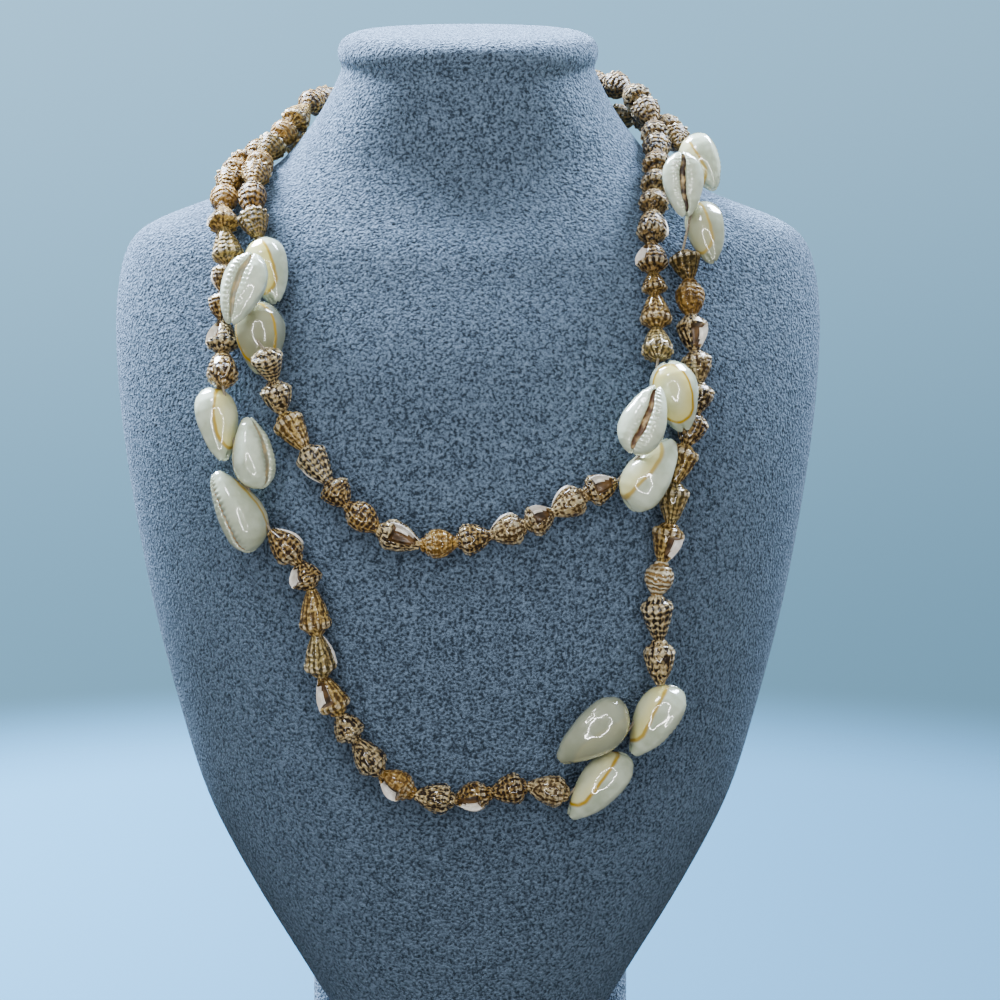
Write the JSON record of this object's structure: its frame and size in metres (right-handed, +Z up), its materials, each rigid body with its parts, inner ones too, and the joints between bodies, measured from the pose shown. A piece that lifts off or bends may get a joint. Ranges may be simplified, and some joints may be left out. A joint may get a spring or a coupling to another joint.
{
  "type": "shell necklace on a neck bust",
  "caption": "Long shell necklace of small whelk shells and cowries, worn twice round a grey velvet neck bust.",
  "frame": {"origin": "centre of the foot's flat underside", "axes": "+Z up, the bust's front faces -Y, +X to the viewer's right"},
  "size_m": [0.196, 0.135, 0.2981],
  "materials": {
    "velvet": "short plush with a mottled nap",
    "cowrie_shell": "glossy, cream back with a golden ring, white rim",
    "whelk_shell": "glossy, brown and cream spots on ribs",
    "cotton_thread": "waxed"
  },
  "bodies": {
    "root": {"neck_bust": "velvet", "bust_foot": "velvet", "inner_round_shells": "whelk_shell", "outer_round_shells": "whelk_shell", "thread": "cotton_thread", "cowrie_01": "cowrie_shell", "cowrie_02": "cowrie_shell", "cowrie_03": "cowrie_shell", "cowrie_04": "cowrie_shell", "cowrie_05": "cowrie_shell", "cowrie_06": "cowrie_shell", "cowrie_07": "cowrie_shell", "cowrie_08": "cowrie_shell", "cowrie_09": "cowrie_shell", "cowrie_10": "cowrie_shell", "cowrie_11": "cowrie_shell", "cowrie_12": "cowrie_shell", "cowrie_13": "cowrie_shell", "cowrie_14": "cowrie_shell", "cowrie_15": "cowrie_shell", "cowrie_16": "cowrie_shell", "cowrie_17": "cowrie_shell", "cowrie_18": "cowrie_shell"}
  },
  "joints": []
}
